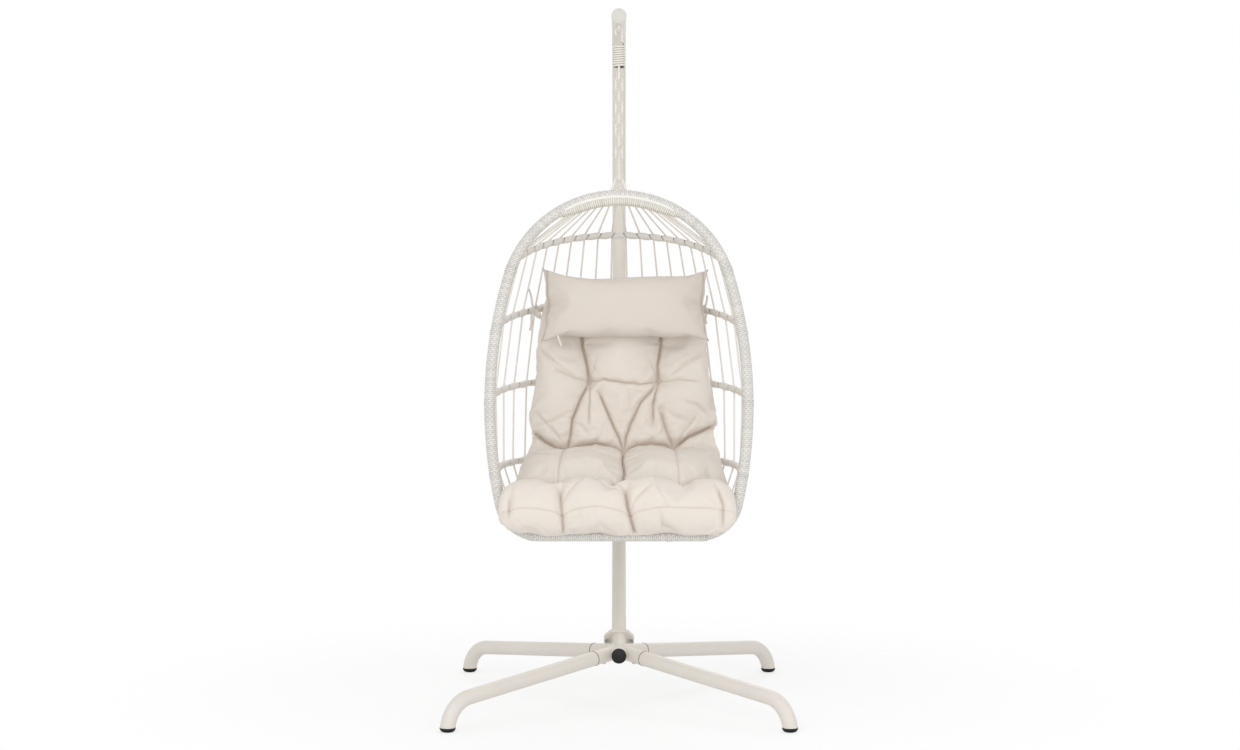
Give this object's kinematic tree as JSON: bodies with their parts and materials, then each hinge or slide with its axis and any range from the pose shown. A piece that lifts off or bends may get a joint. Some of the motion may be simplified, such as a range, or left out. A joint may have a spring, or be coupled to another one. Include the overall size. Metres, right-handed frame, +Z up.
{
  "type": "hanging egg chair",
  "caption": "Egg-shaped hanging chair: a corded basket with a tufted cushion hung by a spring and chain from a curved post on a four-legged stand.",
  "frame": {"origin": "on the floor, in the middle of the whole object's outline seen from above", "axes": "+Z up, -Y towards the side that a person sits down from, +X to the right seen from there"},
  "size_m": [0.953, 1.1458, 1.9605],
  "materials": {
    "ivory_paint": "satin ivory powder coat",
    "painted_fittings": "satin ivory powder coat over steel wire",
    "zinc": "zinc plated",
    "black_plastic": "fine-grained black",
    "ivory_plastic": "moulded ivory",
    "wicker": "wound flat synthetic wicker",
    "string": "round extruded cord",
    "fabric": "plain woven polyester"
  },
  "bodies": {
    "stand": {"arm_cap": "ivory_plastic", "arm_eye": "painted_fittings", "flange_bolts": "zinc", "flange_nuts": "zinc", "foot_cap_front_left": "black_plastic", "foot_cap_front_right": "black_plastic", "foot_cap_rear_left": "black_plastic", "foot_cap_rear_right": "black_plastic", "hub": "ivory_paint", "hub_cap": "black_plastic", "leg_front_left": "ivory_paint", "leg_front_right": "ivory_paint", "leg_rear_left": "ivory_paint", "leg_rear_right": "ivory_paint", "leg_screws": "zinc", "post_lower": "ivory_paint", "post_screws": "zinc", "post_upper": "ivory_paint"},
    "spring": {"spring": "painted_fittings"},
    "top_link": {"chain_link_1": "painted_fittings"},
    "chain": {"chain_link_2": "painted_fittings", "chain_link_3": "painted_fittings", "chain_link_4": "painted_fittings", "chain_link_5": "painted_fittings", "chain_link_6": "painted_fittings", "chain_link_7": "painted_fittings"},
    "snap_hook": {"snap_hook": "painted_fittings"},
    "gate": {"snap_gate": "painted_fittings"},
    "basket": {"cushion": "fabric", "hanger": "painted_fittings", "hoop_rod_1": "ivory_paint", "hoop_rod_2": "ivory_paint", "hoop_rod_3": "ivory_paint", "hoop_rod_4": "ivory_paint", "hoop_rod_5": "ivory_paint", "hoop_wrap_1": "wicker", "hoop_wrap_2": "wicker", "hoop_wrap_3": "wicker", "hoop_wrap_4": "wicker", "hoop_wrap_5": "wicker", "pillow": "fabric", "rim_tube": "ivory_paint", "rim_wrap": "wicker", "seat_strings": "string", "string_web": "string"}
  },
  "joints": [
    {"name": "swing_front_back", "type": "hinge", "parent": "stand", "child": "spring", "pos_m": [0, -0.0949, 1.91025], "axis": [1, 0, 0], "range_deg": [-12, 6]},
    {"name": "spring_stretch", "type": "slide", "parent": "spring", "child": "top_link", "axis": [0, 0, -1], "range_m": [0, 0.04], "stiffness_N_per_m": 20000, "springref_m": -0.02, "deforming": ["spring"]},
    {"name": "swing_sideways", "type": "hinge", "parent": "top_link", "child": "chain", "pos_m": [0, -0.0949, 1.7383], "axis": [0, 1, 0], "range_deg": [-10, 10]},
    {"name": "chain_twist", "type": "hinge", "parent": "chain", "child": "snap_hook", "pos_m": [0, -0.0949, 1.543], "axis": [0, 0, 1], "range_deg": [-15, 15], "stiffness_Nm_per_rad": 2},
    {"name": "basket_tilt", "type": "hinge", "parent": "snap_hook", "child": "basket", "pos_m": [0, -0.0949, 1.4866], "axis": [1, 0, 0], "range_deg": [-6, 4]},
    {"name": "gate_open", "type": "hinge", "parent": "snap_hook", "child": "gate", "pos_m": [0, -0.1059, 1.4993], "axis": [1, 0, 0], "range_deg": [-20, 0], "stiffness_Nm_per_rad": 0.05, "springref_deg": 20.05}
  ]
}
